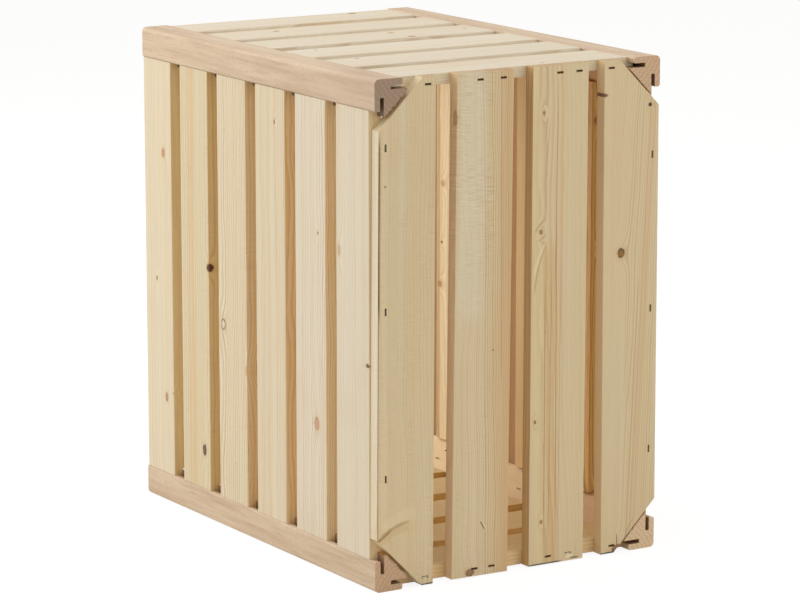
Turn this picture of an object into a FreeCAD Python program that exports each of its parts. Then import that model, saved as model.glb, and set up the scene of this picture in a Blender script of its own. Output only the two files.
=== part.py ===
"""Slatted wooden apple crate, standing on one of its short ends.

Frame: X across the crate's width, Y from its base boards (-Y) to its open mouth (+Y),
Z up along its length. The origin is under the middle of the crate, on the surface it stands on.
"""
import FreeCAD, Part
import math
import os

os.makedirs("parts", exist_ok=True)
Vector = FreeCAD.Vector

# Overall sizes in millimetres.
crate_length = 500.0        # over the corner posts, upright here
crate_width = 330.0         # over the corner posts
post_length = 463.0         # how deep the crate is, from base to mouth
board_proud = 1.0           # the base boards stand this far past the posts' ends

# Corner posts: a triangular moulding with a groove along each leg.
post_leg = 31.0             # outer corner to the end of an outer lip
post_web = 47.5             # outer corner to the slanted inner face, measured along a leg
outer_lip = 6.2             # wood outside a groove
groove_width = 4.2
groove_floor = 18.0         # outer corner to the floor of a groove
corner_radius = 5.0
lip_radius = 2.4
lip_inner_radius = 1.0
inner_lip_radius = 0.5

# Wall slats: six to a wall, tongued into the posts' grooves.
slats_per_wall = 6
slat_width = 58.0
slat_pitch = 78.05          # back edge to back edge
slat_thickness = 11.0       # in the end walls
side_slat_thickness = 14.0
slat_inset = 1.0            # slat faces lie this far inside the posts' outer faces
slat_arris = 0.8
tongue_grip = 6.5           # how far a tongue reaches past the end of the outer lip
tongue_play = 0.1           # clearance on each side of a tongue
thick_slat = 15.0           # the lower end wall's base slat is cut from thicker, narrower stock
thick_slat_width = 53.0

# How far slats 2 to 5 sit towards the mouth from their even places, wall by wall.
slat_shifts = {
    "left_side": (0.0, 0.0, 0.0, 0.0),
    "right_side": (1.0, 1.5, 2.1, 1.5),
    "upper_end": (0.0, 1.0, -1.0, 0.0),
    "lower_end": (7.0, 7.0, 4.0, 2.0),
}

# Base boards, stapled across the slats' edges.
board_thickness = 13.0
board_end_inset = 1.0       # board ends lie flush with the end walls' faces
board_arris = 0.6

# Each board: left edge at mid length (from the left posts' face), width, lean in degrees (upper end
# to the right), and its staples' places across it, upper then lower. The outer two also have their
# upper and lower corner cuts, and the heights of the staples along their outer edge.
base_boards = (
    {"left": 2.8, "width": 64.0, "lean": 0.32, "upper": (55.0,), "lower": (55.0,),
     "side": "left", "cuts": (49.0, 51.0), "heights": (112.0, 276.0, 434.0), "staple_depth": 10.7},
    {"left": 89.6, "width": 65.0, "lean": 0.57, "upper": (26.5, 53.0), "lower": (26.5, 46.5),
     "side": None},
    {"left": 178.3, "width": 65.0, "lean": 0.20, "upper": (31.5, 54.0), "lower": (23.0, 47.0),
     "side": None},
    {"left": 263.6, "width": 65.6, "lean": -0.17, "upper": (8.5,), "lower": (13.0,),
     "side": "right", "cuts": (48.0, 50.0), "heights": (103.0, 247.0, 402.0), "staple_depth": 7.5},
)

# Staples: flat wire, driven with a nailer.
staple_crown = 7.4
wire_width = 1.25
wire_thick = 1.0
crown_radius = 0.6
chisel_point = 1.5          # length of the slant at the end of a leg
board_staple_leg = 28.0
board_staple_depth = 7.5    # in from the end walls' outer faces
board_staple_sink = 1.5
board_pit_width = 2.3       # the wood is crushed beside a sunk crown
post_staple_sink = 2.5
post_staple_end = 3.0       # legs stop this far short of the post's outer face

# Places worked out from the sizes above.
base_face = -(post_length + board_proud) / 2
post_foot = base_face + board_proud
mouth = post_foot + post_length
board_back = base_face + board_thickness
inner_groove_wall = outer_lip + groove_width
inner_lip_end = post_web - inner_groove_wall
staple_run = post_leg - tongue_grip / 2

WALLS = {
    "left_side": (crate_length, lambda run, depth, y: Vector(depth - crate_width / 2, y, run)),
    "right_side": (crate_length, lambda run, depth, y: Vector(crate_width / 2 - depth, y, run)),
    "upper_end": (crate_width, lambda run, depth, y: Vector(run - crate_width / 2, y, crate_length - depth)),
    "lower_end": (crate_width, lambda run, depth, y: Vector(run - crate_width / 2, y, depth)),
}
CORNERS = {
    "upper_left": (-1, crate_length, ("left_side", "upper_end")),
    "upper_right": (1, crate_length, ("right_side", "upper_end")),
    "lower_left": (-1, 0.0, ("left_side", "lower_end")),
    "lower_right": (1, 0.0, ("right_side", "lower_end")),
}


def rounded_face(corners):
    """A flat face through corners, each (point, radius), with tangent arcs where radius is not 0."""
    turns = []
    for index, (point, radius) in enumerate(corners):
        back = (corners[index - 1][0] - point).normalize()
        ahead = (corners[(index + 1) % len(corners)][0] - point).normalize()
        half = back.getAngle(ahead) / 2
        inward = (back + ahead).normalize()
        reach = radius / math.tan(half)
        middle = point + inward * (radius / math.sin(half) - radius)
        turns.append((point + back * reach, middle, point + ahead * reach, radius))
    edges = []
    for index, (start, middle, end, radius) in enumerate(turns):
        if radius:
            edges.append(Part.Arc(start, middle, end).toShape())
        edges.append(Part.makeLine(end, turns[(index + 1) % len(turns)][0]))
    return Part.Face(Part.Wire(edges))


def long_edges(solid, direction, least):
    """The solid's straight edges along direction that are at least so long."""
    return [edge for edge in solid.Edges
            if edge.Length > least
            and abs((edge.Vertexes[-1].Point - edge.Vertexes[0].Point).normalize().dot(direction)) > 0.999]


def staple(centre, crown_way, leg_way, leg):
    """A U of flat wire: crown centred on centre, legs reaching along leg_way to chisel points."""
    half = staple_crown / 2
    outline = [
        (-half, 0.0, crown_radius), (half, 0.0, crown_radius), (half, leg, 0.0),
        (half - wire_thick, leg - chisel_point, 0.0), (half - wire_thick, wire_thick, 0.0),
        (wire_thick - half, wire_thick, 0.0), (wire_thick - half, leg - chisel_point, 0.0),
        (-half, leg, 0.0),
    ]
    across = crown_way.cross(leg_way) * wire_width
    corners = [(centre + crown_way * u + leg_way * v - across * 0.5, radius) for u, v, radius in outline]
    return rounded_face(corners).extrude(across)


def pit(centre, crown_way, leg_way, width, sink):
    """The hole that a sunk crown leaves around and above itself."""
    half = crown_way * (staple_crown / 2)
    across = crown_way.cross(leg_way) * (width / 2)
    top = centre - leg_way * sink
    corners = [top - half - across, top + half - across, top + half + across, top - half + across]
    return Part.Face(Part.makePolygon(corners + corners[:1])).extrude(leg_way * (sink + wire_thick))


def corner_post(side, level):
    """One post: outer corner rounded, a groove in each leg, inner face slanted at 45 degrees."""
    leg = [
        (post_leg, 0.0, lip_radius), (post_leg, outer_lip, lip_inner_radius),
        (groove_floor, outer_lip, 0.0), (groove_floor, inner_groove_wall, 0.0),
        (inner_lip_end, inner_groove_wall, inner_lip_radius),
    ]
    other_leg = [(up, across, radius) for across, up, radius in reversed(leg)]
    section = [(0.0, 0.0, corner_radius)] + leg + other_leg
    inward = 1 if level == 0.0 else -1
    corners = [(Vector(side * (crate_width / 2 - across), post_foot, level + inward * up), radius)
               for across, up, radius in section]
    return rounded_face(corners).extrude(Vector(0, post_length, 0))


def slat_span(wall, number):
    """Where a slat's two long edges lie along Y, near edge then mouth edge."""
    even = mouth - (number - 1) * slat_pitch
    if number < slats_per_wall:
        far = even + ((0.0,) + slat_shifts[wall])[number - 1]
        return far - slat_width, far
    far = board_back + thick_slat_width if wall == "lower_end" else even
    return board_back, far


def slat_depth(wall, number):
    """How far a slat's inner face lies inside the posts' outer face."""
    if wall.endswith("side"):
        return slat_inset + side_slat_thickness
    thick = wall == "lower_end" and number == slats_per_wall
    return slat_inset + (thick_slat if thick else slat_thickness)


def wall_slat(wall, number):
    """A slat with a tongue at each end: the outer shoulders meet the posts' lips."""
    span, place = WALLS[wall]
    near, far = slat_span(wall, number)
    inner = slat_depth(wall, number)
    tongue_tip = post_leg - tongue_grip
    tongue_out = outer_lip + tongue_play
    tongue_in = inner_groove_wall - tongue_play
    inner_shoulder = inner_lip_end + tongue_play
    lower_half = [
        (inner_shoulder, inner), (inner_shoulder, tongue_in), (tongue_tip, tongue_in),
        (tongue_tip, tongue_out), (post_leg, tongue_out), (post_leg, slat_inset),
    ]
    outline = lower_half + [(span - run, depth) for run, depth in reversed(lower_half)]
    face = rounded_face([(place(run, depth, near), 0.0) for run, depth in outline])
    solid = face.extrude(Vector(0, far - near, 0))
    along = (place(1, 0, 0) - place(0, 0, 0)).normalize()
    return solid.makeFillet(slat_arris, long_edges(solid, along, span / 2))


def base_board(board):
    """A board across the base, its outer corners cut at 45 degrees to clear the posts."""
    left = board["left"] - crate_width / 2
    right = left + board["width"]
    bottom = board_end_inset
    top = crate_length - board_end_inset
    corners = [(left, bottom), (right, bottom), (right, top), (left, top)]
    if board["side"]:
        upper_cut, lower_cut = board["cuts"]
        edge = left if board["side"] == "left" else right
        inward = 1 if board["side"] == "left" else -1
        lower = [(edge, bottom + lower_cut), (edge + inward * lower_cut, bottom)]
        upper = [(edge + inward * upper_cut, top), (edge, top - upper_cut)]
        if board["side"] == "left":
            corners = lower + corners[1:3] + upper
        else:
            corners = [corners[0]] + lower[::-1] + upper[::-1] + [corners[3]]
    face = rounded_face([(Vector(x, base_face, z), 0.0) for x, z in corners])
    solid = face.extrude(Vector(0, board_thickness, 0))
    solid = solid.makeFillet(board_arris, long_edges(solid, Vector(0, 0, 1), crate_length / 2))
    solid.rotate(Vector((left + right) / 2, 0, crate_length / 2), Vector(0, 1, 0), board["lean"])
    return solid


def board_staple_places(board):
    """The centre and crown direction of each staple that holds a base board."""
    sunk = base_face + board_staple_sink
    left = board["left"] - crate_width / 2
    drift = math.tan(math.radians(board["lean"])) * crate_length / 2
    places = []
    for across in board["upper"]:
        top = crate_length - slat_inset - board_staple_depth
        places.append((Vector(left + across + drift, sunk, top), Vector(1, 0, 0)))
    for across in board["lower"]:
        bottom = slat_inset + board_staple_depth
        places.append((Vector(left + across - drift, sunk, bottom), Vector(1, 0, 0)))
    if board["side"]:
        side = -1 if board["side"] == "left" else 1
        x = side * (crate_width / 2 - slat_inset - board["staple_depth"])
        places += [(Vector(x, sunk, z), Vector(0, 0, 1)) for z in board["heights"]]
    return places


def post_staple_places(corner):
    """The wall, crown centre and leg direction of each staple that pins a tongue in this post."""
    side, level, walls = CORNERS[corner]
    places = []
    for wall in walls:
        span, place = WALLS[wall]
        low = level == 0.0 if wall.endswith("side") else side < 0
        run = staple_run if low else span - staple_run
        depth = post_web - staple_run - wire_width / 2
        outward = (place(0, 0, 0) - place(0, 1, 0)).normalize()
        for number in range(1, slats_per_wall + 1):
            near, far = slat_span(wall, number)
            places.append((wall, number, place(run, depth, (near + far) / 2), outward))
    return places


# The wood, each piece still whole.
pieces = {}
for corner, (side, level, _) in CORNERS.items():
    pieces["corner_post_" + corner] = corner_post(side, level)
for wall in WALLS:
    for number in range(1, slats_per_wall + 1):
        pieces[f"{wall}_slat_{number}"] = wall_slat(wall, number)
for number, board in enumerate(base_boards, 1):
    pieces[f"base_board_{number}"] = base_board(board)

# Staples through the base boards into the base slats of the walls.
toward_mouth = Vector(0, 1, 0)
base_slats = [f"{wall}_slat_{slats_per_wall}" for wall in WALLS]
for number, board in enumerate(base_boards, 1):
    group = []
    for centre, crown_way in board_staple_places(board):
        wire = staple(centre, crown_way, toward_mouth, board_staple_leg)
        name = f"base_board_{number}"
        hole = pit(centre, crown_way, toward_mouth, board_pit_width, board_staple_sink)
        pieces[name] = pieces[name].cut(hole).cut(wire)
        for slat in base_slats:
            if pieces[slat].BoundBox.intersect(wire.BoundBox):
                pieces[slat] = pieces[slat].cut(wire)
        group.append(wire)
    pieces[f"base_board_{number}_staples"] = Part.Compound(group)

# Staples from inside, through each post's inner lip, the tongue and part of the outer lip.
staple_leg = post_web - staple_run - wire_width / 2 - post_staple_end
for corner in CORNERS:
    group = []
    post = "corner_post_" + corner
    for wall, number, centre, outward in post_staple_places(corner):
        slat = f"{wall}_slat_{number}"
        wire = staple(centre, Vector(0, 1, 0), outward, staple_leg)
        hole = pit(centre, Vector(0, 1, 0), outward, wire_width, post_staple_sink)
        pieces[post] = pieces[post].cut(hole).cut(wire)
        pieces[slat] = pieces[slat].cut(wire)
        group.append(wire)
    pieces[post + "_staples"] = Part.Compound(group)

for name, shape in pieces.items():
    shape.exportStep(f"parts/{name}.step")
    print(name, len(shape.Solids), round(shape.Volume), "mm3")
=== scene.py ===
# %% [markdown]
# # A slatted apple crate
# The crate stands on one short end, with its base boards towards us and its open mouth turned away.
# The frame holds every piece of wood and wire at its real size. What is left to do here is what a
# cabinet maker would see on the bench: the grain of each piece, its knots and streaks, the saw's
# marks, and the torn fibres that a blunt blade left at the end of a post.

# %% The frame
import math

import bpy
import numpy as np
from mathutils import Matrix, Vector


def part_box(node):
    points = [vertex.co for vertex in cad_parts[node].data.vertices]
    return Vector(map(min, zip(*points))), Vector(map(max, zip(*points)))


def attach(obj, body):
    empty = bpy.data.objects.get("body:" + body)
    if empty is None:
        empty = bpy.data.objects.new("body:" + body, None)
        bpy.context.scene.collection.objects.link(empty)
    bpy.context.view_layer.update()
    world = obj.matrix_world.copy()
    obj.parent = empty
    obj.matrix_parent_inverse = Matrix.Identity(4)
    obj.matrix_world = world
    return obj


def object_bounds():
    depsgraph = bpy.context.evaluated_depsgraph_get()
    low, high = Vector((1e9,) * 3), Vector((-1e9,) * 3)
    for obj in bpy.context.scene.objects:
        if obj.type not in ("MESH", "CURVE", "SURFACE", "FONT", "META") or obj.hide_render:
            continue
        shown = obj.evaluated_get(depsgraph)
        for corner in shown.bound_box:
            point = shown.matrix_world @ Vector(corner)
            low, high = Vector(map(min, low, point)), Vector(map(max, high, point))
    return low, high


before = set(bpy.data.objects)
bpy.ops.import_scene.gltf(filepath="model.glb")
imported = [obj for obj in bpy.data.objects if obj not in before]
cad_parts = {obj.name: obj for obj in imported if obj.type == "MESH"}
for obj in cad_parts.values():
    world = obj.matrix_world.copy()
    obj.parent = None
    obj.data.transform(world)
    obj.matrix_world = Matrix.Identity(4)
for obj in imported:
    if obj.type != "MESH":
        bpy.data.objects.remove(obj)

cad_low, cad_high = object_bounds()

# %% [markdown]
# ## The camera
# A long lens from the left and a little above shows the left wall, the base and the upper end. The
# camera is placed by its distance and its two angles from the point that it looks at, a little
# below the middle of the crate.

# %% Camera
CAMERA_AZIMUTH = math.radians(-31.891)
CAMERA_ELEVATION = math.radians(11.393)
CAMERA_DISTANCE = 3.8499
CAMERA_LENS = 168.84
LOOK_OFFSET = np.array([0.0032, -0.0061, -0.0173])


def direction(azimuth, elevation):
    """The unit vector from the crate to a viewer: azimuth 0 stands on -Y and looks along +Y."""
    flat = math.cos(elevation)
    return np.array([math.sin(azimuth) * flat, -math.cos(azimuth) * flat, math.sin(elevation)])


def aim(thing, place, target):
    """Puts a camera or lamp at place and points its -Z at target."""
    thing.location = place
    thing.rotation_euler = (Vector(target) - Vector(place)).to_track_quat("-Z", "Y").to_euler()


middle = (np.array(cad_low) + np.array(cad_high)) / 2
look_at = middle + LOOK_OFFSET
camera_data = bpy.data.cameras.new("camera")
camera_data.lens = CAMERA_LENS
camera = bpy.data.objects.new("camera", camera_data)
bpy.context.scene.collection.objects.link(camera)
aim(camera, look_at + CAMERA_DISTANCE * direction(CAMERA_AZIMUTH, CAMERA_ELEVATION), look_at)
bpy.context.scene.camera = camera
print("camera at", [round(x, 3) for x in camera.location])

# %% [markdown]
# ## Shader sums in plain Python
# Wood is mostly arithmetic: how far a point lies from the middle of the tree, which year's ring
# that is, how near the closest knot. One small class wraps a shader socket, so that such a sum is
# written as it is said, and Blender gets the Math nodes. Every other node comes from `node`.

# %% Wires
class Wire:
    """An output socket of a shader node. Sums written on it add Math nodes to the same tree."""

    def __init__(self, tree, socket):
        self.tree = tree
        self.socket = socket

    def node(self, kind, settings=(), values=(), output=0):
        """Adds a node: its settings first, then a value or a Wire for each of its sockets."""
        made = self.tree.nodes.new(kind)
        for name, value in dict(settings).items():
            setattr(made, name, value)
        for name, value in dict(values).items():
            if isinstance(value, Wire):
                self.tree.links.new(value.socket, made.inputs[name])
            else:
                made.inputs[name].default_value = value
        return Wire(self.tree, made.outputs[output]) if made.outputs else None

    def math(self, operation, *others):
        """One Math node on this wire and the others."""
        return self.node("ShaderNodeMath", {"operation": operation}, enumerate((self,) + others))

    def __add__(self, other):
        return self.math("ADD", other)

    __radd__ = __add__

    def __sub__(self, other):
        return self.math("SUBTRACT", other)

    def __rsub__(self, other):
        return self.node("ShaderNodeMath", {"operation": "SUBTRACT"}, {0: other, 1: self})

    def __mul__(self, other):
        return self.math("MULTIPLY", other)

    __rmul__ = __mul__

    def __truediv__(self, other):
        return self.math("DIVIDE", other)

    def __pow__(self, other):
        return self.math("POWER", other)

    def __neg__(self):
        return self * -1.0

    def step(self, low, high):
        """0 below low, 1 above high, and a smooth S between them."""
        return self.node("ShaderNodeMapRange", {"interpolation_type": "SMOOTHSTEP"},
                         {0: self, 1: low, 2: high, 3: 0.0, 4: 1.0})

    def pick(self, first, second, how="MIX"):
        """The colour first where this wire is 0, and second where it is 1."""
        return self.node("ShaderNodeMix", {"data_type": "RGBA", "blend_type": how},
                         {0: self, 6: first, 7: second}, output=2)

    def point(self, y, z):
        """A vector of this wire and two more values."""
        return self.node("ShaderNodeCombineXYZ", (), {0: self, 1: y, 2: z})

    def noise(self, detail=2.0):
        """Cloudy noise at this vector, from about -0.5 to 0.5."""
        cloud = self.node("ShaderNodeTexNoise", {"noise_dimensions": "3D"},
                          {"Vector": self, "Scale": 1.0, "Detail": detail, "Roughness": 0.5})
        return cloud - 0.5

    def chance(self):
        """One random number from 0 to 1 for each whole value of this wire."""
        return self.node("ShaderNodeTexWhiteNoise", {"noise_dimensions": "1D"}, {"W": self})


def linear(red, green, blue):
    """A colour as it looks on a screen, from 0 to 255, as the shader wants it."""
    def one(value):
        share = value / 255
        return share / 12.92 if share <= 0.04045 else ((share + 0.055) / 1.055) ** 2.4
    return one(red), one(green), one(blue), 1.0


print("wires ready")

# %% [markdown]
# ## Axes along the grain
# A plank's pattern runs with its grain, whichever way the plank lies in the crate. So each material
# starts from three wires in millimetres, measured from the middle of its own piece: `along` the
# grain, `across` the width and `deep` through the thickness. The side walls' slats and the base
# boards stand upright, the end walls' slats lie along X, and the posts lie along Y. Each lay below
# gives the three axes in that order.

# %% Axes
MM = 1000.0
AXIS = {"X": 0, "Y": 1, "Z": 2}
LAY = {
    "left_side": "ZYX",
    "right_side": "ZYX",
    "upper_end": "XYZ",
    "lower_end": "XYZ",
    "base_board": "ZXY",
    "corner_post": "YXZ",
}
# Which way along the deep axis the inside of the crate lies.
INWARD = {"left_side": 1, "right_side": -1, "upper_end": -1, "lower_end": 1, "base_board": 1,
          "corner_post": 1}


class Grain:
    """The axes of one piece's material: wires along, across and deep, and which way a face looks.

    end, side, mouthward and inside are 1 on the faces that look that way. lean, in degrees, turns
    the grain with a piece that doesn't stand quite square.
    """

    def __init__(self, name, wall, lean=0.0):
        lay = LAY[wall]
        self.material = bpy.data.materials.new(name + "_finish")
        self.material.use_nodes = True
        tree = self.material.node_tree
        tree.nodes.clear()
        low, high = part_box(name)
        self.size = [(high[AXIS[a]] - low[AXIS[a]]) * MM for a in lay]
        centre = [(high[AXIS[a]] + low[AXIS[a]]) / 2 * MM for a in lay]
        source = tree.nodes.new("ShaderNodeTexCoord")
        spot = Wire(tree, source.outputs["Object"])
        facing = Wire(tree, source.outputs["Normal"])
        self.along, self.across, self.deep = (
            spot.node("ShaderNodeSeparateXYZ", (), {0: spot}, output=AXIS[a]) * MM - mid
            for a, mid in zip(lay, centre))
        if lean:
            self.across = self.across - self.along * math.tan(math.radians(lean))
        turned = [facing.node("ShaderNodeSeparateXYZ", (), {0: facing}, output=AXIS[a]) for a in lay]
        self.end = turned[0].math("ABSOLUTE").step(0.75, 0.95)
        self.side = turned[1].math("ABSOLUTE").step(0.6, 0.9)
        self.mouthward = turned[1].step(0.6, 0.9)
        self.inside = (turned[2] * INWARD[wall]).step(0.6, 0.9)

    def cloud(self, long, wide, seed, detail=2.0):
        """Noise stretched along the grain: long and wide are the size of its clouds in millimetres."""
        spot = (self.along / long + seed).point(self.across / wide, self.deep / wide + seed * 0.37)
        return spot.noise(detail)


print("lays:", LAY)

# %% [markdown]
# ## Year rings
# A plank is cut from a round tree, so its figure is a slice through a stack of cones. The recipe
# follows the tree: `heart` says where the middle of the tree passes the plank, and the distance
# from it, in ring widths, gives the year. A heart close behind the face draws wide arches; one
# far out to the side draws straight narrow lines, and the ends show the arcs. Each year starts
# pale and closes in a thin darker line. A knot is a branch: it pulls the rings round itself, so
# the distance is dented near it before the rings are drawn.

# %% Rings
WANDER = 3.0


def year_rings(grain, heart, ring, seed, knots, tilt):
    """Rings round the tree's middle: returns the darkness of the late wood and the year's own tint.

    The distance from the heart is the root of the squares of across and deep, with slow noise of a few
    times WANDER millimetres added and a smooth dent at each knot. Divided by the ring width, its
    fraction is the time of year.
    """
    drift = grain.cloud(210.0, 60.0, seed) * WANDER * 4 + grain.cloud(45.0, 16.0, seed + 5.1) * WANDER
    out = grain.across + grain.along * tilt - heart[0]
    down = grain.deep - heart[1]
    radius = (out * out + down * down) ** 0.5 + drift
    for branch in knots:
        near = knot_distance(grain, branch, 4.2, 2.3)
        radius = radius + (near * near * -1.0).math("EXPONENT") * branch["pull"]
    years = radius / ring
    years = years + (years * 0.31 + seed).point(seed, 0.0).noise(0.0) * 1.6
    season = years.math("FRACT")
    late = season.step(0.25, 0.88) * (1.0 - season.step(0.90, 1.0))
    tint = years.math("FLOOR").chance()
    return late, tint


def knot_distance(grain, branch, long=1.0, wide=1.0):
    """How far a point is from a knot, with 1 at the knot's rim stretched by long and wide."""
    up = (grain.along - branch["along"]) / (branch["high"] * long)
    side = (grain.across - branch["across"]) / (branch["wide"] * wide)
    square = up * up + side * side
    if branch["deep"]:
        down = (grain.deep - branch["deep"][0]) / branch["deep"][1]
        square = square + down * down
    return square ** 0.5


def two_shades(colour, wave, dark, pale, share=1.0):
    """Turns the colour towards one shade where a wave is high and towards another where it is low.

    dark and pale each give where the wave starts to show, where it shows fully, how strongly, and
    the shade.
    """
    for side, (start, full, strength, shade) in ((wave, dark), (-wave, pale)):
        colour = (side.step(start, full) * share * strength).pick(colour, linear(*shade))
    return colour


print("rings ready")

# %% [markdown]
# ## Knots
# A knot is a disc with small rings of its own, a dark rim that is broken here and there, and a warm
# halo round it. It goes right through the plank, and so it shows on both faces, and as a bar on
# the edge when it is cut there. A knot that stays shallow gets a depth.

# %% Knots
BROWN = (150, 92, 48)
DARK = (84, 52, 32)
HALO = (206, 160, 104)


def knot(along, across, high, wide=None, core=(150, 96, 52), rim=(96, 60, 34), strength=0.85, pull=5.0,
         deep=None):
    """A knot at a place on its piece in millimetres from the middle, with half its height and width.

    It goes right through the plank, unless deep gives its middle and half its depth.
    """
    return {"along": along, "across": across, "high": high, "wide": wide or high * 0.8, "deep": deep,
            "core": linear(*core), "rim": linear(*rim), "strength": strength, "pull": pull}


def draw_knot(grain, colour, spot, seed):
    """The halo first, then the knot's own disc with its small rings, and the broken rim on top."""
    wobble = (grain.along / 2.3 + seed).point(grain.across / 2.3, seed).noise(1.0) * 0.35
    near = knot_distance(grain, spot) + wobble
    halo = 1.0 - near.step(0.8, 2.6)
    disc = 1.0 - near.step(0.82, 1.05)
    broken = (grain.along / 3.3 - seed).point(grain.across / 3.3, seed).noise(1.0).step(-0.22, 0.16)
    rim = near.step(0.55, 0.95) * (1.0 - near.step(1.0, 1.25)) * (broken * 0.65 + 0.35)
    heart_rings = ((near * 15.0).math("SINE") * 0.5 + 0.5) * disc
    colour = (halo * spot["strength"] * 0.35).pick(colour, linear(*HALO))
    colour = (disc * spot["strength"]).pick(colour, spot["core"])
    colour = (heart_rings * spot["strength"] * 0.35).pick(colour, spot["rim"])
    return (rim * spot["strength"]).pick(colour, spot["rim"])


print("knots ready")

# %% [markdown]
# ## Streaks and short marks
# A streak is a long band of another colour that follows the grain; on one slat of the right wall
# it is a painted shadow. A stroke is a short mark in any direction: a scratch, a crack, the curl of
# the grain beside a branch, or a painted shadow, the dark line along a board's foot where it stands
# on the floor.

# %% Streaks and strokes
def streak(across, half, colour, strength, low=-1000.0, high=1000.0):
    """A band of one colour along the grain: its place across, half its width, and where it ends."""
    return {"across": across, "half": half, "colour": linear(*colour), "strength": strength,
            "low": low, "high": high}


def draw_streak(grain, colour, band, seed, tilt):
    """A streak with a wandering line, that fades in and out over a few centimetres at its ends."""
    bend = grain.cloud(160.0, 9.0, seed + band["across"]) * band["half"] * 1.3
    off = grain.across + grain.along * tilt - band["across"] + bend
    shape = 1.0 - (off / band["half"]).math("ABSOLUTE").step(0.45, 1.15)
    shape = shape * (1.0 - grain.side) * grain.along.step(band["low"] - 25.0, band["low"])
    shape = shape * (1.0 - grain.along.step(band["high"], band["high"] + 25.0))
    return (shape * band["strength"]).pick(colour, band["colour"])


def stroke(along, across, angle, length, half, colour, strength=0.6, bend=0.0):
    """A short mark: angle in degrees from straight across, and bend in parts of its length squared."""
    return {"along": along, "across": across, "angle": math.radians(angle), "length": length,
            "half": half, "colour": linear(*colour), "strength": strength, "bend": bend}


def draw_stroke(grain, colour, mark, seed):
    """A rough-edged line: run is the distance along it and off the distance beside it."""
    up = grain.along - mark["along"]
    side = grain.across - mark["across"]
    run = side * math.cos(mark["angle"]) + up * math.sin(mark["angle"])
    off = up * math.cos(mark["angle"]) - side * math.sin(mark["angle"]) + run * run * mark["bend"]
    wobble_and_edge_shade = (run / 4.0 + seed).point(off / 2.0, seed).noise(2.0) * mark["half"] * 1.2
    line = 1.0 - ((off + wobble_and_edge_shade) / mark["half"]).math("ABSOLUTE").step(0.4, 1.2)
    ends = 1.0 - (run / (mark["length"] / 2)).math("ABSOLUTE").step(0.6, 1.0)
    return (line * ends * (1.0 - grain.side) * mark["strength"]).pick(colour, mark["colour"])


print("marks ready")

# %% [markdown]
# ## From rings to a plank
# The finish is laid on in the order in which wood gets it: the rings and the slow warm and cool
# bands, the streaks, the fine fibres, the marks of the saw, and then the knots and the short marks.
# Last, the plank's edges and its inner face get a tint of painted light and shade, for how light
# falls between the slats and bounces inside the crate. A tint may be over 255, where an edge is
# painted paler than the face.

# %% Softwood
PALE = (225, 211, 179)
LATE = (190, 152, 100)
# Painted light and shade: the next two tints are multiplied onto a plank's edges and its inner face.
EDGE_SHADING = (264, 249, 218)
INSIDE_SHADING = (255, 248, 232)
END = (188, 150, 104)
ARRIS = (186, 150, 108)


def ground(grain, late, seed, pale, late_wood, contrast):
    """Pale wood with its darker late wood, long warm and cool bands, and a slow wash."""
    colour = (late * contrast).pick(linear(*pale), linear(*late_wood))
    bands = grain.cloud(520.0, 13.0, seed + 11.0, 1.0)
    colour = two_shades(colour, bands, (0.02, 0.30, 0.38, (222, 186, 134)),
                        (0.05, 0.32, 0.30, (232, 220, 196)))
    wash = grain.cloud(120.0, 70.0, seed + 17.0)
    return (wash.step(0.0, 0.35) * 0.22).pick(colour, linear(206, 174, 126))


def saw_marks(grain, seed, strength, left_of):
    """The saw's marks, a noise stretched across the grain, and how strongly they show in patches."""
    run = (grain.along + grain.across * 0.12) / 1.5 + seed
    tooth = run.point(grain.across / 11.0, seed).noise(1.0)
    patch = grain.cloud(60.0, 22.0, seed + 37.0).step(-0.2, 0.12) * strength
    if left_of is not None:
        patch = patch * (1.0 - grain.across.step(left_of - 6.0, left_of + 6.0))
    return tooth, patch


def curl_marks(grain, seed, strength):
    """A slanting ripple in the upper left part of a board, and how strongly it shows."""
    slant = grain.across * 0.10 + grain.cloud(60.0, 40.0, seed + 43.0) * 6.0
    run = (grain.along + slant) / 1.5 + seed
    ripple = run.point(grain.across / 13.0, seed + 3.0).noise(1.0)
    patch = grain.cloud(50.0, 30.0, seed + 47.0).step(-0.16, 0.14) * strength
    patch = patch * (1.0 - grain.across.step(8.0, 22.0)) * grain.along.step(30.0, 90.0)
    return ripple, patch


def worn_arris(grain):
    """1 within half a millimetre of a long edge, broken up along it."""
    side = grain.across.math("ABSOLUTE") - grain.size[1] / 2
    face = grain.deep.math("ABSOLUTE") - grain.size[2] / 2
    worn = side.math("MINIMUM", face) + grain.cloud(16.0, 30.0, 41.0) * 1.2
    return worn.step(-1.3, -0.2)


def tint_faces(grain, colour, wall, edge):
    """Tints the worn arrises and the sawn ends of a plank, and paints light and shade on its edges and
    inner face.

    The slats' edges that look towards the mouth get little of the edges' painted light and shade.
    """
    colour = (worn_arris(grain) * 0.12).pick(colour, linear(*ARRIS))
    colour = (grain.end * 0.55).pick(colour, linear(*END), "MULTIPLY")
    # Painted light and shade on the edges; the slats' edges that face the mouth get little of it.
    wobble_and_edge_shade = grain.side if wall == "base_board" else grain.side * (1.0 - grain.mouthward * 0.8)
    colour = wobble_and_edge_shade.pick(colour, linear(*edge), "MULTIPLY")
    # Painted shade, warm and slightly darker, on the inner face.
    return grain.inside.pick(colour, linear(*INSIDE_SHADING), "MULTIPLY")


def finish_surface(colour, height, roughness):
    """Joins a colour and a height in tenths of a millimetre to a planed surface's shader."""
    bump = colour.node("ShaderNodeBump", (), {"Strength": 0.5, "Distance": 0.0004, "Height": height})
    sheen = height * 0.12 + roughness
    shader = colour.node("ShaderNodeBsdfPrincipled", (),
                         {"Base Color": colour, "Roughness": sheen, "Normal": bump})
    colour.node("ShaderNodeOutputMaterial", (), {"Surface": shader})


def put_on(name, material):
    """Gives a node one material, in place of what it had."""
    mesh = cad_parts[name].data
    mesh.materials.clear()
    mesh.materials.append(material)


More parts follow.
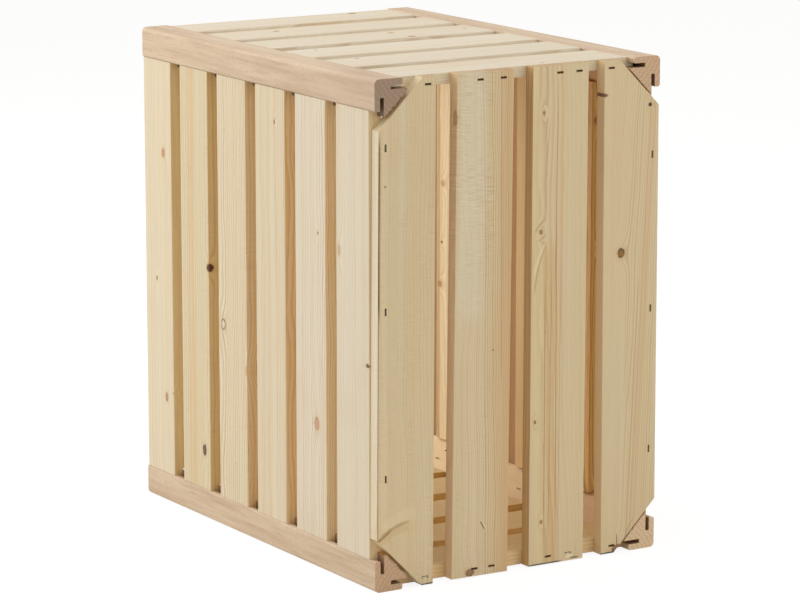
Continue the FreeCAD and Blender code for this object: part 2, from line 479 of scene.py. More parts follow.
def softwood(name, wall, heart, ring, seed, pale=PALE, late_wood=LATE, contrast=0.5, lean=0.0,
             plain=None, knots=(), streaks=(), strokes=(), sawn=0.0, sawn_from=None, curl=0.0,
             tilt=0.0, edge=EDGE_SHADING):
    """A planed softwood finish for one piece, put on its node.

    plain is a pair of places across between which the rings fade away, and tilt is how far the rings
    lean away from the plank's own length. sawn is the strength of the saw's marks across the grain,
    left of sawn_from if given, and curl that of a slanting ripple in the upper left part.
    """
    grain = Grain(name, wall, lean)
    late, tint = year_rings(grain, heart, ring, seed, knots, tilt)
    late = late * (tint * 0.9 + 0.35)
    if plain:
        late = late * (1.0 - grain.across.step(*plain) * 0.8)
    colour = ground(grain, late, seed, pale, late_wood, contrast)
    for band in streaks:
        colour = draw_streak(grain, colour, band, seed, tilt)

    fibre = grain.cloud(22.0, 0.55, seed + 23.0, 3.0)
    colour = two_shades(colour, fibre, (0.05, 0.30, 0.24, (176, 138, 92)),
                        (0.08, 0.30, 0.22, (240, 228, 202)))
    height = fibre * 0.5 - late * 0.35
    if sawn:
        tooth, patch = saw_marks(grain, seed, sawn, sawn_from)
        height = height + tooth * patch * 0.4
        colour = two_shades(colour, tooth, (0.04, 0.26, 0.20, (178, 146, 106)),
                            (0.06, 0.28, 0.22, (240, 230, 208)), patch)
    if curl:
        ripple, patch = curl_marks(grain, seed, curl)
        colour = two_shades(colour, ripple, (0.0, 0.24, 0.30, (184, 160, 124)),
                            (0.0, 0.24, 0.20, (242, 234, 216)), patch)

    for index, branch in enumerate(knots):
        colour = draw_knot(grain, colour, branch, seed + index * 3.7)
    for index, mark in enumerate(strokes):
        colour = draw_stroke(grain, colour, mark, seed + index * 5.3)
    colour = tint_faces(grain, colour, wall, edge)
    finish_surface(colour, height, 0.62)
    put_on(name, grain.material)


print("softwood ready")

# %% [markdown]
# ## The left wall
# Six slats from different planks. The slat at the mouth is nearly plain with a few small knots; the
# second carries an orange streak and two dark knots; the third a bright knot in a dark ring; the
# fourth has close straight lines; the fifth has a soft pinkish knot low down, and the sixth a small
# black one near its edge. Each has its own heart and ring width.

# %% Slats of the left wall
def place(name, lay, along, across):
    """A place measured from the crate's own corner, in millimetres, as along and across its piece."""
    low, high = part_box(name)
    centre = [(low[AXIS[a]] + high[AXIS[a]]) / 2 * MM for a in lay]
    return along - centre[0], across - centre[1]


def left_knot(number, up, back, high, **more):
    """A knot on a left slat, by its height and its place along Y in millimetres."""
    along, across = place(f"left_side_slat_{number}", "ZYX", up, back)
    return knot(along, across, high, **more)


# The edge tints of slats 3, 4 and 5 are painted light and shade on their edges.
LEFT_WALL = {
    1: dict(heart=(64, -30), ring=3.6, contrast=0.30, knots=[
        left_knot(1, 372.9, 191.1, 4.6, wide=2.8, core=(198, 146, 88), rim=(150, 104, 62)),
        left_knot(1, 237.7, 208.2, 2.4, wide=1.2, core=BROWN, rim=DARK),
        left_knot(1, 113.1, 189.6, 4.2, wide=2.6, core=(186, 148, 106), rim=(120, 84, 56)),
        left_knot(1, 119.3, 175.6, 0.9, core=BROWN, rim=DARK)]),
    2: dict(heart=(-70, -46), ring=3.1, contrast=0.46, sawn=0.5, pale=(219, 203, 166),
            streaks=[streak(5.0, 4.5, (216, 172, 108), 0.45), streak(12.0, 2.2, (206, 160, 100), 0.35)],
            knots=[
                left_knot(2, 266.4, 97.0, 4.0, wide=3.2, core=(72, 38, 14), rim=(96, 56, 26), strength=1.0,
                          deep=(-5.4, 4.4)),
                left_knot(2, 72.5, 108.1, 5.8, wide=3.4, core=(104, 66, 32), rim=(46, 28, 12),
                          strength=0.95)]),
    3: dict(heart=(52, -64), ring=2.6, contrast=0.70, sawn=0.6, edge=(266, 250, 226), knots=[
        left_knot(3, 212.9, 66.0, 5.4, wide=4.0, core=(240, 224, 190), rim=(64, 38, 12), strength=1.0,
                  pull=3.0),
        left_knot(3, 172.2, 19.8, 5.0, wide=1.4, core=(200, 158, 104), rim=(168, 124, 76), strength=0.5)]),
    4: dict(heart=(78, -38), ring=2.2, contrast=0.80, pale=(227, 213, 182), edge=(274, 252, 220), knots=[
        left_knot(4, 435.3, -40.4, 2.2, wide=1.3, core=BROWN, rim=DARK)]),
    5: dict(heart=(-60, -58), ring=2.4, contrast=0.62, pale=(228, 217, 194), edge=(280, 266, 240), knots=[
        left_knot(5, 145.9, -120.3, 6.4, wide=4.2, core=(200, 156, 120), rim=(184, 134, 98), pull=6.0),
        left_knot(5, 337.1, -123.7, 1.5, wide=0.9, core=BROWN, rim=DARK)]),
    6: dict(heart=(90, -70), ring=3.0, contrast=0.26, pale=(225, 213, 187), knots=[
        left_knot(6, 326.6, -163.8, 5.0, wide=2.0, core=(214, 178, 132), rim=(182, 142, 98)),
        left_knot(6, 222.0, -216.3, 1.8, wide=2.8, core=(64, 36, 12), rim=(96, 60, 26))]),
}
for number, look in LEFT_WALL.items():
    softwood(f"left_side_slat_{number}", "left_side", seed=3.0 + number * 7.3, **look)
print("left wall:", len(LEFT_WALL), "slats")

# %% [markdown]
# ## The base boards
# The four boards are yellower and more figured than the slats. The first is plain, with a swirl of
# grain at its lower corner and a dark line along its left arris. The second has a curl in its upper
# left part and close rings on its right, the third is wavy with small knots, and the fourth has one
# round brown knot. Each leans a little, by the degrees below. The first, third and fourth have a dark
# stroke along the foot, a painted shadow where they stand on the floor, and the boards' narrow edges
# carry painted light and shade.

# %% Base boards
LEANS = {1: 0.32, 2: 0.57, 3: 0.20, 4: -0.17}
BOARD = (222, 202, 160)


def board_knot(number, up, right, high, **more):
    """A knot on a base board, by its height and its place along X in millimetres."""
    along, across = place(f"base_board_{number}", "ZXY", up, right)
    across -= along * math.tan(math.radians(LEANS[number]))
    return knot(along, across, high, **more)


BASE = {
    1: dict(heart=(70, 60), ring=2.6, contrast=0.24, sawn=0.8, knots=[
        board_knot(1, 40.0, -158.0, 22.0, wide=12.0, core=(220, 190, 130), rim=(186, 148, 88),
                   strength=0.12, pull=12.0),
        board_knot(1, 397.0, -153.9, 0.9, wide=0.7, core=BROWN, rim=DARK)],
            streaks=[streak(-30.6, 1.1, (164, 120, 52), 0.6, low=30.0, high=178.0),
                     streak(-31.8, 1.4, (96, 58, 2), 1.0, low=36.0, high=178.0),
                     streak(-32.0, 1.1, (140, 98, 46), 0.7, high=12.0),
                     streak(-25.0, 4.0, (232, 214, 172), 0.4)],
            strokes=[stroke(-179.0, -9.0, 21.5, 50.0, 7.0, (234, 218, 180), 0.30, bend=0.0091),
                     stroke(-192.5, -15.0, 21.5, 46.0, 4.5, (204, 168, 114), 0.40, bend=0.0091),
                     stroke(-187.4, -14.4, 22.5, 44.0, 1.9, (168, 124, 66), 0.55, bend=0.0091),
                     stroke(-194.6, -24.0, 33.0, 22.0, 1.3, (142, 98, 50), 0.65),
                     stroke(-250.0, 22.0, -3.0, 26.0, 3.2, (238, 226, 190), 0.55),
                     # painted shadow along the foot, where the board stands on the floor
                     stroke(-248.8, 20.0, 0.0, 34.0, 1.4, (62, 44, 30), 0.95)]),
    2: dict(heart=(120, 36), ring=2.3, contrast=0.80, plain=(10.0, -46.0), sawn=0.7, sawn_from=12.0,
            curl=1.0, tilt=0.0144,
            streaks=[streak(29.0, 9.0, (210, 166, 114), 0.50),
                     streak(19.0, 8.0, (216, 176, 126), 0.35, high=20.0),
                     streak(21.5, 0.8, (178, 130, 80), 0.45, low=-40.0),
                     streak(-12.0, 17.0, (232, 220, 194), 0.50, low=20.0),
                     streak(-12.0, 17.0, (230, 210, 176), 0.35, high=-5.0)],
            strokes=[stroke(-198.7, 2.4, -61.0, 11.0, 0.7, (104, 72, 44), 0.9),
                     stroke(-197.9, 4.4, -61.0, 10.0, 0.6, (238, 224, 196), 0.6)],
            knots=[
                board_knot(2, 5.4, -56.9, 3.4, wide=4.8, core=(146, 104, 62), rim=(104, 70, 40)),
                knot(45.0, -20.0, 16.0, wide=9.0, strength=0.0, pull=7.0),
                knot(206.0, -33.0, 7.0, wide=3.0, core=(160, 120, 84), rim=(146, 106, 74), strength=0.42,
                     pull=0.5, deep=(-3.5, 3.4)),
                board_knot(2, 225.3, -30.9, 0.9, core=BROWN, rim=DARK, pull=0.5)]),
    3: dict(heart=(-38, 30), ring=4.2, contrast=0.42, plain=(-4.0, 10.0), late_wood=(178, 132, 76),
            tilt=0.0229,
            streaks=[streak(-11.0, 8.0, (214, 172, 112), 0.42, high=60.0),
                     streak(-25.0, 6.0, (234, 210, 156), 0.45)],
            strokes=[stroke(-96.0, -15.6, 90.3, 300.0, 0.9, (166, 118, 62), 0.60),
                     stroke(-90.0, -9.1, 89.8, 330.0, 0.7, (178, 130, 76), 0.55),
                     stroke(-60.0, -2.4, 90.4, 370.0, 0.7, (160, 112, 58), 0.60),
                     stroke(-80.0, 2.0, 90.0, 300.0, 0.6, (184, 140, 88), 0.45),
                     stroke(130.0, -3.6, 89.6, 230.0, 0.6, (170, 124, 72), 0.60),
                     stroke(150.0, -15.5, 88.0, 110.0, 0.8, (186, 144, 94), 0.40, bend=0.001),
                     stroke(92.0, -25.0, 50.0, 16.0, 1.2, (160, 114, 66), 0.40, bend=0.03),
                     stroke(80.0, -20.0, 30.0, 14.0, 1.0, (168, 124, 74), 0.35, bend=-0.03),
                     stroke(60.0, -24.0, 66.0, 44.0, 2.4, (240, 222, 182), 0.5, bend=0.006),
                     stroke(52.0, -24.0, 74.0, 60.0, 1.2, (186, 140, 84), 0.55, bend=0.004),
                     stroke(-244.0, 16.0, -2.0, 9.0, 2.6, (242, 230, 196), 0.8),
                     stroke(-246.8, 22.0, 0.0, 12.0, 0.8, (84, 62, 42), 0.8),
                     # painted shadow along the foot, where the board stands on the floor
                     stroke(-248.8, -14.0, 0.0, 48.0, 1.5, (62, 44, 30), 0.95)],
            knots=[
        board_knot(3, 453.2, 27.0, 2.0, wide=1.2, core=(160, 112, 66), rim=(124, 84, 50)),
        board_knot(3, 336.5, 24.4, 2.2, wide=1.8, core=(170, 124, 76), rim=(126, 86, 52), pull=9.0),
        board_knot(3, 147.2, 18.8, 1.8, wide=1.2, core=BROWN, rim=DARK, pull=8.0),
        board_knot(3, 44.7, 26.7, 2.0, wide=1.6, core=(176, 128, 76), rim=(134, 90, 52))]),
    4: dict(heart=(-96, 50), ring=2.5, contrast=0.50, tilt=-0.05, plain=(6.0, -24.0),
            streaks=[streak(9.0, 0.9, (190, 142, 88), 0.45, high=10.0),
                     streak(13.5, 0.8, (196, 150, 98), 0.40),
                     streak(18.0, 3.0, (214, 180, 130), 0.35)], knots=[
        board_knot(4, 306.1, 120.0, 4.6, wide=4.0, core=(152, 104, 32), rim=(70, 42, 6), strength=0.95,
                   pull=7.0),
        board_knot(4, 452.1, 153.0, 1.9, wide=1.8, core=(52, 34, 22), rim=(40, 26, 18), strength=1.0),
        knot(215.0, -33.0, 1.7, wide=3.8, core=(112, 74, 44), rim=(84, 54, 32), strength=0.9,
             pull=0.5),
        knot(-246.0, -13.0, 4.4, wide=6.0, core=(150, 104, 60), rim=(92, 58, 34))],
            strokes=[stroke(-236.0, -13.5, 96.0, 14.0, 0.6, (120, 82, 48), 0.8),
                     stroke(-226.0, 0.0, 62.0, 26.0, 0.7, (176, 134, 88), 0.5, bend=0.01),
                     # painted shadow along the foot, where the board stands on the floor
                     stroke(-248.8, -25.0, 0.0, 30.0, 1.5, (62, 44, 30), 0.95)]),
}
# Painted light and shade on each board's narrow edges.
BOARD_EDGE_SHADING = {1: (264, 272, 292), 2: (266, 253, 250), 3: (234, 215, 188), 4: (260, 250, 241)}
for number, look in BASE.items():
    softwood(f"base_board_{number}", "base_board", seed=61.0 + number * 9.1, pale=BOARD,
             lean=LEANS[number], edge=BOARD_EDGE_SHADING[number], **look)
print("base:", len(BASE), "boards")

# %% [markdown]
# ## The walls that turn away
# The upper end, the right wall and the lower end are made from the same stock. Their hearts, ring
# widths and knots are drawn from a seeded random source, so that each slat is its own and the
# result is the same every time. Four slats of the right wall show between the base boards, so what
# they show there is listed: two have knots, two have none, and the fifth has strong rings.

# %% Slats of the other walls
chance = np.random.default_rng(1911)
SLAT_WIDTH = 58.0


def random_knots(length, width, count):
    """Small knots strewn over a slat."""
    return [knot(float(chance.uniform(-0.45, 0.45)) * length, float(chance.uniform(-0.42, 0.42)) * width,
                 float(chance.uniform(1.4, 4.6)), core=BROWN if chance.random() < 0.5 else (186, 136, 84),
                 rim=DARK if chance.random() < 0.5 else (140, 96, 56)) for _ in range(count)]


# Each wall's slat shades. The right wall's differ slat by slat partly in tone and partly as painted light,
# each set to how bright it shows between the boards.
STOCK_AND_PAINTED_LIGHT = {
    "upper_end": [(228, 217, 194)] * 6,
    "right_side": [(226, 206, 170), (257, 243, 211), (226, 200, 156), (246, 220, 172), (246, 210, 156),
                   (224, 206, 172)],
    "lower_end": [(228, 208, 170)] * 6,
}
# Painted light and shade on each slat's edges, set to how bright they show in the gaps.
SLAT_EDGE_SHADING = {
    "upper_end": [(275, 280, 288)] * 5 + [(255, 252, 240)],
    "right_side": [(221, 195, 162), (230, 200, 160), (218, 189, 162), (225, 190, 145), (219, 198, 134),
                   (225, 195, 150)],
    "lower_end": [(255, 228, 172)] * 5 + [(264, 252, 232)],
}


def right_knot(number, up, back, high, **more):
    """A knot on a right slat, by its height and its place along Y in millimetres."""
    along, across = place(f"right_side_slat_{number}", "ZYX", up, back)
    return knot(along, across, high, **more)


# A painted shadow: a darker streak along one edge of right slat 2, at this place across.
SHADED_EDGE = place("right_side_slat_2", "ZYX", 0.0, 151.2)[1]
SHOWN_IN_GAPS = {
    "right_side_slat_2": dict(streaks=[streak(SHADED_EDGE, 3.2, (190, 150, 104), 0.65)], knots=[
        right_knot(2, 319.6, 143.0, 2.8, wide=3.4, core=(214, 180, 140), rim=(180, 142, 104),
                   strength=0.6),
        right_knot(2, 255.1, 144.6, 1.2, wide=1.5, core=DARK, rim=DARK),
        right_knot(2, 208.7, 148.5, 2.6, wide=3.6, core=(206, 160, 108), rim=(150, 104, 62))]),
    "right_side_slat_3": dict(knots=[]),
    "right_side_slat_4": dict(knots=[]),
    "right_side_slat_5": dict(heart=(-44.0, 52.0), ring=3.2, contrast=0.95, knots=[
        right_knot(5, 423.6, -134.0, 4.6, wide=6.0, core=(176, 112, 54), rim=(150, 94, 46), strength=0.75,
                   deep=(-0.5, 4.2)),
        right_knot(5, 292.9, -135.0, 3.4, wide=3.4, core=(150, 96, 48), rim=(120, 76, 38), strength=0.75,
                   deep=(1.0, 2.6)),
        right_knot(5, 36.0, -134.0, 4.0, wide=6.0, core=(166, 110, 60), rim=(140, 92, 50), strength=0.6,
                   deep=(0.0, 5.0))]),
}


def drawn_look(name, wall):
    """A slat's heart, ring width, contrast and the rest, drawn in this order from the random source."""
    low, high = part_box(name)
    length = (high - low)[AXIS[LAY[wall][0]]] * MM
    side = 1 if chance.random() < 0.5 else -1
    look = {"heart": (side * float(chance.uniform(45, 105)), float(chance.uniform(-75, 75)))}
    look["ring"] = float(chance.uniform(2.2, 3.8))
    look["seed"] = float(chance.uniform(5, 400))
    look["contrast"] = float(chance.uniform(0.26, 0.5))
    look["sawn"] = float(chance.uniform(0.0, 0.6))
    look["knots"] = random_knots(length, SLAT_WIDTH, int(chance.integers(1, 4)))
    return look


for wall, shades in STOCK_AND_PAINTED_LIGHT.items():
    for number, (shade, edge) in enumerate(zip(shades, SLAT_EDGE_SHADING[wall]), 1):
        name = f"{wall}_slat_{number}"
        look = {**drawn_look(name, wall), **SHOWN_IN_GAPS.get(name, {})}
        softwood(name, wall, pale=shade, edge=edge, **look)
print("other walls done")

# %% [markdown]
# ## The posts
# The corner posts are a pinkish hardwood. It has no clear rings along its length, but short fine
# pores and a soft cloudy figure, and its sawn end shows wide arcs. The end of the upper left post is
# painted darker and greyer, as painted shade, and its face is greyer near it. Inside the grooves the
# wood is painted dark, as painted shade, and the slanted inner face carries painted light and shade:
# paler towards the mouth, darker and warmer towards the base.

# %% Hardwood
# Places on a post's section, in millimetres from its two outer faces.
SLANT = 47.5
GROOVE = (6.2, 10.4)
GROOVE_FLOOR = 18.0
ARC_CENTRE = (58.0, -22.0)
ARC_WIDTH = 4.6


def in_groove(beside, inward):
    """1 on the walls and floor of a groove: beside is measured across it, inward along its depth."""
    wide = beside.step(GROOVE[0] - 0.3, GROOVE[0] - 0.1)
    wide = wide * (1.0 - beside.step(GROOVE[1] + 0.1, GROOVE[1] + 0.3))
    return wide * inward.step(GROOVE_FLOOR - 0.3, GROOVE_FLOOR - 0.1)


def post_end(grain, out, up, seed, pale, dark):
    """The sawn end: torn light and dark fibres, and the arcs of the rings. Also returns the tear."""
    tear = (grain.across / 0.9 + seed).point(grain.deep / 0.9, seed).noise(3.0)
    colour = tear.step(-0.2, 0.25).pick(linear(*pale), linear(*dark))
    beside = out - ARC_CENTRE[0]
    above = up - ARC_CENTRE[1]
    arc = (beside * beside + above * above) ** 0.5 + tear * 1.4
    season = (arc / ARC_WIDTH + seed).math("FRACT")
    late = season.step(0.45, 0.9) * (1.0 - season.step(0.92, 1.0))
    return (late * 0.5).pick(colour, linear(*dark)), tear


def hardwood(name, seed, end_pale, end_dark, groove_shade, worn):
    """A planed hardwood finish for one post, put on its node.

    out and up are the distances from the post's two outer faces. end_pale and end_dark are the
    shades of its sawn end, set per corner as painted light and shade, the third shade is the painted
    shade inside its grooves, and worn how grey its face is near the base.
    """
    grain = Grain(name, "corner_post")
    out = grain.across * (1 if name.endswith("left") else -1) + grain.size[1] / 2
    up = grain.deep * (1 if "lower" in name else -1) + grain.size[2] / 2
    figure = grain.cloud(130.0, 9.0, seed, 3.0)
    colour = figure.step(-0.18, 0.28).pick(linear(216, 192, 161), linear(195, 166, 134))
    veins = grain.cloud(60.0, 2.4, seed + 3.0, 2.0)
    colour = two_shades(colour, veins, (0.06, 0.26, 0.45, (180, 145, 112)),
                        (0.08, 0.26, 0.35, (228, 208, 180)))
    pit = grain.cloud(4.6, 0.8, seed + 7.0, 1.0).step(0.10, 0.24)
    colour = (pit * 0.45).pick(colour, linear(158, 118, 84))
    near_base = 1.0 - grain.along.step(-215.0, -90.0)
    colour = (near_base * worn).pick(colour, linear(186, 156, 128))
    # Painted light and shade on the slanted inner face: paler towards the mouth, darker and warmer towards
    # the base.
    slanted = (out + up).step(SLANT - 0.7, SLANT - 0.3)
    slant_shading = grain.along.step(-190.0, 120.0).pick(linear(214, 166, 108), linear(244, 214, 160))
    colour = (slanted * 0.8).pick(colour, slant_shading)
    ends, tear = post_end(grain, out, up, seed, end_pale, end_dark)
    colour = (grain.end * 0.9).pick(colour, ends)
    # Painted shade inside the grooves.
    groove = in_groove(out, up).math("MAXIMUM", in_groove(up, out)) * (1.0 - grain.end)
    colour = (groove * 0.8).pick(colour, linear(*groove_shade))
    height = figure * 0.3 - pit * 0.8 + grain.end * tear * 1.5
    finish_surface(colour, height, 0.6)
    put_on(name, grain.material)


# Per corner: the sawn end's pale and dark shades, the shade inside the grooves and how grey the face turns
# near the base. The end shades carry painted light and shade, darkest at the upper left, and the groove
# shades are painted shade.
POSTS = {
    "upper_left": ((178, 151, 126), (135, 108, 85), (92, 64, 40), 0.35),
    "upper_right": ((232, 196, 156), (176, 140, 107), (112, 78, 48), 0.0),
    "lower_left": ((223, 186, 146), (170, 132, 99), (150, 106, 70), 0.0),
    "lower_right": ((250, 222, 180), (200, 166, 128), (150, 106, 70), 0.0),
}
for index, (corner, shades) in enumerate(POSTS.items()):
    hardwood("corner_post_" + corner, 7.0 + index * 13.0, *shades)
print("posts:", list(POSTS))

# %% [markdown]
# ## Torn fibres
# A blunt saw cut the posts, and at the base end it left a ragged fringe of fibres along the slanted
# edge. The fringe is a closed skin: a row of sections, each a small ring of points, joined and
# capped at the ends.

# %% Skins
def skin(name, loops, finish):
    """A closed surface from an array of sections by points by 3, in metres, capped at both ends."""
    sections, points = loops.shape[:2]
    index = np.arange(sections * points).reshape(sections, points)
    ahead = np.roll(index, -1, axis=1)
    quads = np.stack([index[:-1], ahead[:-1], ahead[1:], index[1:]], axis=-1).reshape(-1, 4)
    faces = quads.tolist() + [index[0, ::-1].tolist(), index[-1].tolist()]
    corners = loops.reshape(-1, 3)
    a, b, c, d = (corners[quads[:, k]] for k in range(4))
    volume = (np.cross(a, b) * c).sum() + (np.cross(a, c) * d).sum()
    if volume < 0:
        faces = [face[::-1] for face in faces]
    mesh = bpy.data.meshes.new(name)
    mesh.from_pydata(corners.tolist(), [], faces)
    mesh.materials.append(finish)
    piece = bpy.data.objects.new(name, mesh)
    bpy.context.scene.collection.objects.link(piece)
    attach(piece, "root")
    return piece


def torn_finish(name, pale, dark):
    """Torn wood: light and dark fibres in small clumps."""
    material = bpy.data.materials.new(name)
    material.use_nodes = True
    material.node_tree.nodes.clear()
    source = material.node_tree.nodes.new("ShaderNodeTexCoord")
    spot = Wire(material.node_tree, source.outputs["Object"])
    fibre = spot.node("ShaderNodeVectorMath", {"operation": "SCALE"}, {0: spot, 3: 1300.0}).noise(2.0)
    shader = spot.node("ShaderNodeBsdfPrincipled", (), {
        "Base Color": fibre.step(-0.15, 0.2).pick(linear(*pale), linear(*dark)), "Roughness": 0.75})
    spot.node("ShaderNodeOutputMaterial", (), {"Surface": shader})
    return material


print("skins ready")

# %% [markdown]
# ## The fringes
# The fibres hang side by side from the slanted edge, in clumps of a few that tore off at about the
# same length. They get shorter towards both ends of the edge.

# %% Fringes
FIBRE = 0.42
CLUMP = 4
FRINGE_START = 11.6
FRINGE_SPAN = 24.2


def fringe(corner, reach, seed, finish):
    """Fibres hanging from a post's slanted edge at its base end, each as wide as FIBRE.

    out and up run along the slanted edge, as distances from the post's outer faces. A fibre's length
    is the reach, times a random number shared by CLUMP neighbours, times one of its own that changes
    it by up to a quarter, times a sine that closes the fringe at both ends. Its section is a thin
    wedge: from the root at the front to the tip, and back to the root behind.
    """
    random = np.random.default_rng(seed)
    low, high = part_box("corner_post_" + corner)
    outer_x, into_x = (low[0], 1) if "left" in corner else (high[0], -1)
    outer_z, into_z = (high[2], -1) if "upper" in corner else (low[2], 1)
    count = int(FRINGE_SPAN * math.sqrt(2) / FIBRE)
    clump = np.repeat(random.random(count // CLUMP + 1), CLUMP)[:count]
    length = reach * (0.12 + 0.88 * clump) * (0.75 + 0.25 * random.random(count))
    length *= np.sin(np.linspace(0.08, math.pi - 0.08, count)) ** 0.35
    lift = random.random(count) * 0.5
    length = np.repeat(length, 2)
    lift = np.repeat(lift, 2)
    share = np.repeat(np.arange(count + 1) / count, 2)[1:-1]
    out = FRINGE_START + FRINGE_SPAN * share
    up = FRINGE_START + FRINGE_SPAN * (1 - share)
    forward = np.array([0.0, 0.5, 1.0, 0.5, 0.0])
    depth = np.array([0.10, 0.16, 0.30, 0.75, 1.40])
    hang = (length[:, None] * forward[None, :] - 0.02) / math.sqrt(2)
    x = outer_x + into_x * (out[:, None] + hang) / MM
    z = outer_z + into_z * (up[:, None] + hang) / MM
    y = low[1] + (depth[None, :] + lift[:, None] * forward[None, :]) / MM
    return skin("torn_fibres_" + corner, np.stack([x, y, z], axis=-1), finish)


torn_dark = torn_finish("torn_dark_finish", (196, 166, 134), (104, 78, 56))
torn_pale = torn_finish("torn_pale_finish", (230, 204, 166), (150, 116, 84))
fringe("upper_left", 3.3, 11, torn_dark)
fringe("lower_left", 2.6, 12, torn_pale)
fringe("upper_right", 1.2, 13, torn_dark)
fringe("lower_right", 1.6, 14, torn_pale)
print("fringes done")

# %% [markdown]
# ## Flakes in two staple holes
# Where the lowest staples of boards 1 and 3 went in, a flake of wood stands across the hole. It is
# another closed skin: an upright ellipse drawn along a short wavy line, that thins to a quarter of
# a millimetre at both ends. Each flake's distance from its board's left edge is given in metres,
# and so are half its length and its height above the floor.

# %% Flakes
FLAKES = {"base_board_1": 0.0547, "base_board_3": 0.0470}
FLAKE_HALF = 0.0030
FLAKE_HEIGHT = 0.00805


def flake(board, across, finish):
    """A sliver of wood across a staple's hole.

    At a step t from -1 to 1 its half height is 0.7 sqrt(1 - t^2) + 0.12 mm, and its front lies
    0.38 + 0.12 sin(9 t) mm behind the board's face.
    """
    low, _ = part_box(board)
    steps = np.linspace(-1.0, 1.0, 25)
    tall = 0.0007 * np.sqrt(np.clip(1.0 - steps ** 2, 0.0, 1.0)) + 0.00012
    wave = 0.00012 * np.sin(steps * 9.0) + 0.00018
    turn = np.linspace(0.0, 2 * math.pi, 9)[:-1]
    x = low[0] + across + FLAKE_HALF * steps[:, None] + 0.0 * turn[None, :]
    z = FLAKE_HEIGHT + tall[:, None] * np.cos(turn)[None, :]
    y = low[1] + 0.00020 + wave[:, None] + 0.00012 * (1 + np.sin(turn))[None, :]
    name = board.replace("base_board", "flake_board")
    return skin(name, np.stack([x, y, z], axis=-1), finish)


flake_finish = torn_finish("flake_finish", (250, 238, 206), (214, 190, 146))
for board, across in FLAKES.items():
    flake(board, across, flake_finish)
print("flakes:", list(FLAKES))

# %% [markdown]
# ## The staples
# The wire is coated and dull, and it lies sunk in the wood, so it reads as a short dark line. Its
# colour goes from bare grey-brown metal to a dark lacquer in blotches.

# %% Staple wire
def wire_material():
    """Dull wire with blotches of lacquer, one material for all the staples."""
    material = bpy.data.materials.new("staple_wire_finish")
    material.use_nodes = True
    material.node_tree.nodes.clear()
    source = material.node_tree.nodes.new("ShaderNodeTexCoord")
    spot = Wire(material.node_tree, source.outputs["Object"])
    blotch = spot.node("ShaderNodeVectorMath", {"operation": "SCALE"}, {0: spot, 3: 900.0}).noise(2.0)
    lacquer = blotch.step(-0.15, 0.15)
    shader = spot.node("ShaderNodeBsdfPrincipled", (), {
        "Base Color": lacquer.pick(linear(92, 70, 42), linear(52, 34, 16)),
        "Metallic": (1.0 - lacquer) * 0.6, "Roughness": blotch * 0.3 + 0.6,
        "Specular IOR Level": 0.12})
    spot.node("ShaderNodeOutputMaterial", (), {"Surface": shader})
    return material


wire_finish = wire_material()
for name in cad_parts:
    if name.endswith("_staples"):
        put_on(name, wire_finish)
print("staples finished")

# %% [markdown]
# ## The floor
# The crate stands on a white floor. Part of the floor's white comes from itself as the camera sees
# it, and the rest from the light that falls on it, so that the crate's soft shadow stays. Lighting
# rays meet a plain pale floor instead.

# %% Floor
def shown_to_the_eye(tree):
    """1 for rays that come from the camera or by way of gloss or glass, and 0 for lighting rays."""
    path = tree.nodes.new("ShaderNodeLightPath")
    eye, gloss, glass = (Wire(tree, path.outputs[kind])
                         for kind in ("Is Camera Ray", "Is Glossy Ray", "Is Transmission Ray"))
    return eye.math("MAXIMUM", gloss).math("MAXIMUM", glass)


FLOOR_REACH = 6.0
floor_mesh = bpy.data.meshes.new("floor")
floor_mesh.from_pydata([(-FLOOR_REACH, -FLOOR_REACH, 0), (FLOOR_REACH, -FLOOR_REACH, 0),
                        (FLOOR_REACH, FLOOR_REACH, 0), (-FLOOR_REACH, FLOOR_REACH, 0)], [], [(0, 1, 2, 3)])
floor = bpy.data.objects.new("floor", floor_mesh)
bpy.context.scene.collection.objects.link(floor)

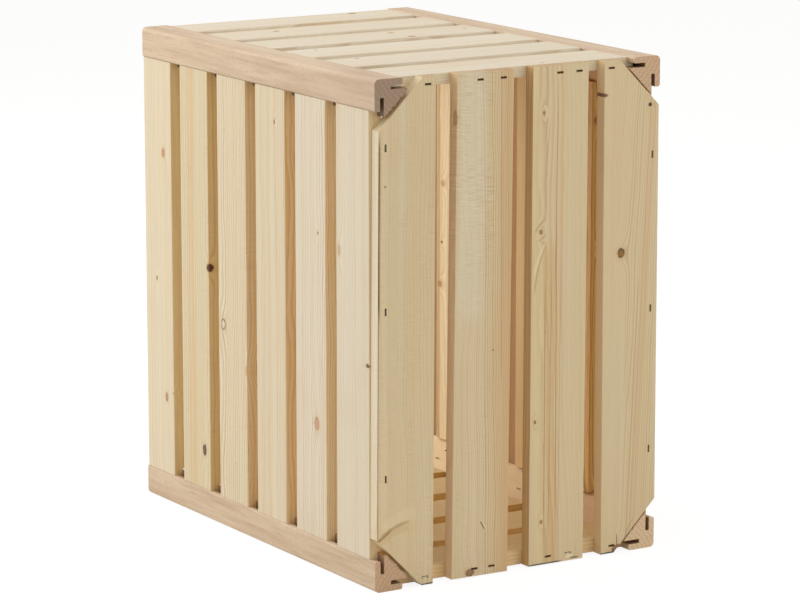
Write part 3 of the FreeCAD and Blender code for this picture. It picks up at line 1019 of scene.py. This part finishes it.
floor_finish = bpy.data.materials.new("floor_finish")
floor_finish.use_nodes = True
floor_finish.node_tree.nodes.clear()
shown = shown_to_the_eye(floor_finish.node_tree)
matt = shown.node("ShaderNodeBsdfDiffuse", (), {"Color": (0.85, 0.85, 0.85, 1.0)})
shade = shown.node("ShaderNodeBsdfDiffuse", (), {"Color": (0.22, 0.22, 0.22, 1.0)})
glow = shown.node("ShaderNodeEmission", (), {"Color": (1.0, 1.0, 1.0, 1.0), "Strength": 0.86})
paper = shown.node("ShaderNodeAddShader", (), {0: shade, 1: glow})
floor_shader = shown.node("ShaderNodeMixShader", (), {0: shown, 1: matt, 2: paper})
shown.node("ShaderNodeOutputMaterial", (), {"Surface": floor_shader})
floor_mesh.materials.append(floor_finish)
print("floor laid")

# %% [markdown]
# ## The surround
# The world is white to the eye, at a strength of 1, and gives a weaker and slightly warm light.

# %% World
world = bpy.data.worlds.new("surround")
bpy.context.scene.world = world
world.use_nodes = True
world.node_tree.nodes.clear()
AMBIENT = 0.50
AMBIENT_TINT = (1.0, 0.965, 0.91, 1.0)
shown = shown_to_the_eye(world.node_tree)
surround = shown.node("ShaderNodeBackground", (), {
    "Color": shown.pick(AMBIENT_TINT, (1.0, 1.0, 1.0, 1.0)), "Strength": shown * (1.0 - AMBIENT) + AMBIENT})
shown.node("ShaderNodeOutputWorld", (), {"Surface": surround})
print("surround at", AMBIENT)

# %% [markdown]
# ## The lamps
# Four large soft lamps stand round the crate at the same distance. One lights the left wall, one the
# top, one comes in through the open mouth and lights the inside that shows between the boards, and
# a weaker one from the front right fills the base.

# %% Lamps
LAMP_DISTANCE = 2.6


def lamp(name, azimuth, elevation, size, power, tint):
    """A square soft lamp that faces the middle of the crate: angles in degrees, power in watts."""
    data = bpy.data.lights.new(name, "AREA")
    data.shape = "SQUARE"
    data.size = size
    data.energy = power
    data.color = tint
    thing = bpy.data.objects.new(name, data)
    bpy.context.scene.collection.objects.link(thing)
    away = direction(math.radians(azimuth), math.radians(elevation))
    aim(thing, middle + LAMP_DISTANCE * away, middle)


lamp("side_lamp", -120.0, 20.0, 1.5, 17.5, (1.0, 1.0, 1.04))
lamp("top_lamp", -60.0, 80.0, 1.8, 17.0, (0.96, 1.0, 1.10))
lamp("mouth_lamp", -158.0, 26.0, 1.5, 22.0, (1.0, 0.98, 0.94))
lamp("front_lamp", 28.0, 20.0, 1.8, 13.0, (1.0, 0.99, 0.97))
print("four lamps lit")

# %% [markdown]
# ## The view
# The standard view shows colours about as they are written.

# %% View settings
bpy.context.scene.view_settings.view_transform = "Standard"
print("view:", bpy.context.scene.view_settings.view_transform)
